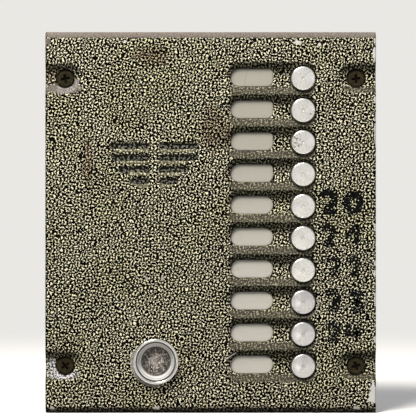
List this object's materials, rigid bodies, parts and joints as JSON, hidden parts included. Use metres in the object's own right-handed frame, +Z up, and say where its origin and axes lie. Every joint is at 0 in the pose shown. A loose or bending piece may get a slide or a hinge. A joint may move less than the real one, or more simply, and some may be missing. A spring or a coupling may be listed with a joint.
{
  "type": "entrance call panel",
  "caption": "Flush wall-mounted entrance intercom panel: cast front with a column of call buttons and name windows, speaker grille, key reader cup and steel back box.",
  "frame": {"origin": "on the wall's surface, behind the middle of the front panel", "axes": "+Z up, +X to the right as a caller sees it, -Y out of the wall towards the caller, +Y into the wall"},
  "size_m": [0.176, 0.0586, 0.203],
  "materials": {
    "panel_paint": "veined powder coat, pale cream over near-black, matt",
    "gasket_rubber": "matt black",
    "black_screws": "blackened, worn",
    "box_steel": "galvanised",
    "grommet_rubber": "matt black",
    "card_paper": "white card",
    "carrier_plastic": "moulded black",
    "zinc_screws": "zinc plated",
    "mat_silicone": "grey silicone",
    "board_laminate": "lacquered laminate",
    "lamp_plastic": "clear amber",
    "chip_plastic": "moulded black",
    "capacitor_sleeve": "shrunk sleeve",
    "terminal_plastic": "moulded green",
    "speaker_fabric": "open grey weave",
    "foam_rubber": "closed-cell foam",
    "speaker_steel": "pressed, plated",
    "magnet_ferrite": "ground ferrite",
    "cone_paper": "pressed paper",
    "clip_steel": "spring steel",
    "microphone_can": "drawn can",
    "boot_rubber": "matt black",
    "reader_chrome": "plated, turned, worn",
    "insulator_plastic": "moulded, dirty grey",
    "contact_steel": "worn bare steel",
    "nut_brass": "turned",
    "button_metal": "turned in rings, worn",
    "window_plastic": "milky, scratched"
  },
  "bodies": {
    "panel": {"front_panel": "panel_paint", "panel_gasket": "gasket_rubber", "fixing_screws": "black_screws", "box_back": "box_steel", "box_left": "box_steel", "box_right": "box_steel", "box_top": "box_steel", "box_bottom": "box_steel", "box_ears": "box_steel", "cable_grommet": "grommet_rubber", "name_cards": "card_paper", "button_carrier": "carrier_plastic", "carrier_screws": "zinc_screws", "board_screws": "zinc_screws", "clip_screws": "zinc_screws", "terminal_screws": "zinc_screws", "key_mat": "mat_silicone", "circuit_board": "board_laminate", "label_lamps": "lamp_plastic", "amplifier_chip": "chip_plastic", "controller_chip": "chip_plastic", "capacitors": "capacitor_sleeve", "terminal_block": "terminal_plastic", "speaker_cloth": "speaker_fabric", "speaker_gasket": "foam_rubber", "speaker_frame": "speaker_steel", "speaker_magnet": "magnet_ferrite", "speaker_cone": "cone_paper", "speaker_clips": "clip_steel", "contact_spring": "clip_steel", "microphone": "microphone_can", "microphone_boot": "boot_rubber", "reader_bezel": "reader_chrome", "reader_insulator": "insulator_plastic", "reader_nut": "nut_brass", "reader_washer": "nut_brass", "name_window_01": "window_plastic", "name_window_02": "window_plastic", "name_window_03": "window_plastic", "name_window_04": "window_plastic", "name_window_05": "window_plastic", "name_window_06": "window_plastic", "name_window_07": "window_plastic", "name_window_08": "window_plastic", "name_window_09": "window_plastic", "name_window_10": "window_plastic"},
    "button_01": {"call_button_01": "button_metal"},
    "button_02": {"call_button_02": "button_metal"},
    "button_03": {"call_button_03": "button_metal"},
    "button_04": {"call_button_04": "button_metal"},
    "button_05": {"call_button_05": "button_metal"},
    "button_06": {"call_button_06": "button_metal"},
    "button_07": {"call_button_07": "button_metal"},
    "button_08": {"call_button_08": "button_metal"},
    "button_09": {"call_button_09": "button_metal"},
    "button_10": {"call_button_10": "button_metal"},
    "contact": {"reader_contact": "contact_steel", "contact_clip": "clip_steel"}
  },
  "joints": [
    {"name": "press_01", "type": "slide", "parent": "panel", "child": "button_01", "axis": [0, 1, 0], "range_m": [0, 0.0015], "stiffness_N_per_m": 400, "springref_m": -0.003, "deforming": ["key_mat"]},
    {"name": "press_02", "type": "slide", "parent": "panel", "child": "button_02", "axis": [0, 1, 0], "range_m": [0, 0.0015], "stiffness_N_per_m": 400, "springref_m": -0.003, "deforming": ["key_mat"]},
    {"name": "press_03", "type": "slide", "parent": "panel", "child": "button_03", "axis": [0, 1, 0], "range_m": [0, 0.0015], "stiffness_N_per_m": 400, "springref_m": -0.003, "deforming": ["key_mat"]},
    {"name": "press_04", "type": "slide", "parent": "panel", "child": "button_04", "axis": [0, 1, 0], "range_m": [0, 0.0015], "stiffness_N_per_m": 400, "springref_m": -0.003, "deforming": ["key_mat"]},
    {"name": "press_05", "type": "slide", "parent": "panel", "child": "button_05", "axis": [0, 1, 0], "range_m": [0, 0.0015], "stiffness_N_per_m": 400, "springref_m": -0.003, "deforming": ["key_mat"]},
    {"name": "press_06", "type": "slide", "parent": "panel", "child": "button_06", "axis": [0, 1, 0], "range_m": [0, 0.0015], "stiffness_N_per_m": 400, "springref_m": -0.003, "deforming": ["key_mat"]},
    {"name": "press_07", "type": "slide", "parent": "panel", "child": "button_07", "axis": [0, 1, 0], "range_m": [0, 0.0015], "stiffness_N_per_m": 400, "springref_m": -0.003, "deforming": ["key_mat"]},
    {"name": "press_08", "type": "slide", "parent": "panel", "child": "button_08", "axis": [0, 1, 0], "range_m": [0, 0.0015], "stiffness_N_per_m": 400, "springref_m": -0.003, "deforming": ["key_mat"]},
    {"name": "press_09", "type": "slide", "parent": "panel", "child": "button_09", "axis": [0, 1, 0], "range_m": [0, 0.0015], "stiffness_N_per_m": 400, "springref_m": -0.003, "deforming": ["key_mat"]},
    {"name": "press_10", "type": "slide", "parent": "panel", "child": "button_10", "axis": [0, 1, 0], "range_m": [0, 0.0015], "stiffness_N_per_m": 400, "springref_m": -0.003, "deforming": ["key_mat"]},
    {"name": "contact_press", "type": "slide", "parent": "panel", "child": "contact", "axis": [0, 1, 0], "range_m": [0, 0.0008], "stiffness_N_per_m": 300, "springref_m": -0.002, "deforming": ["contact_spring"]}
  ]
}
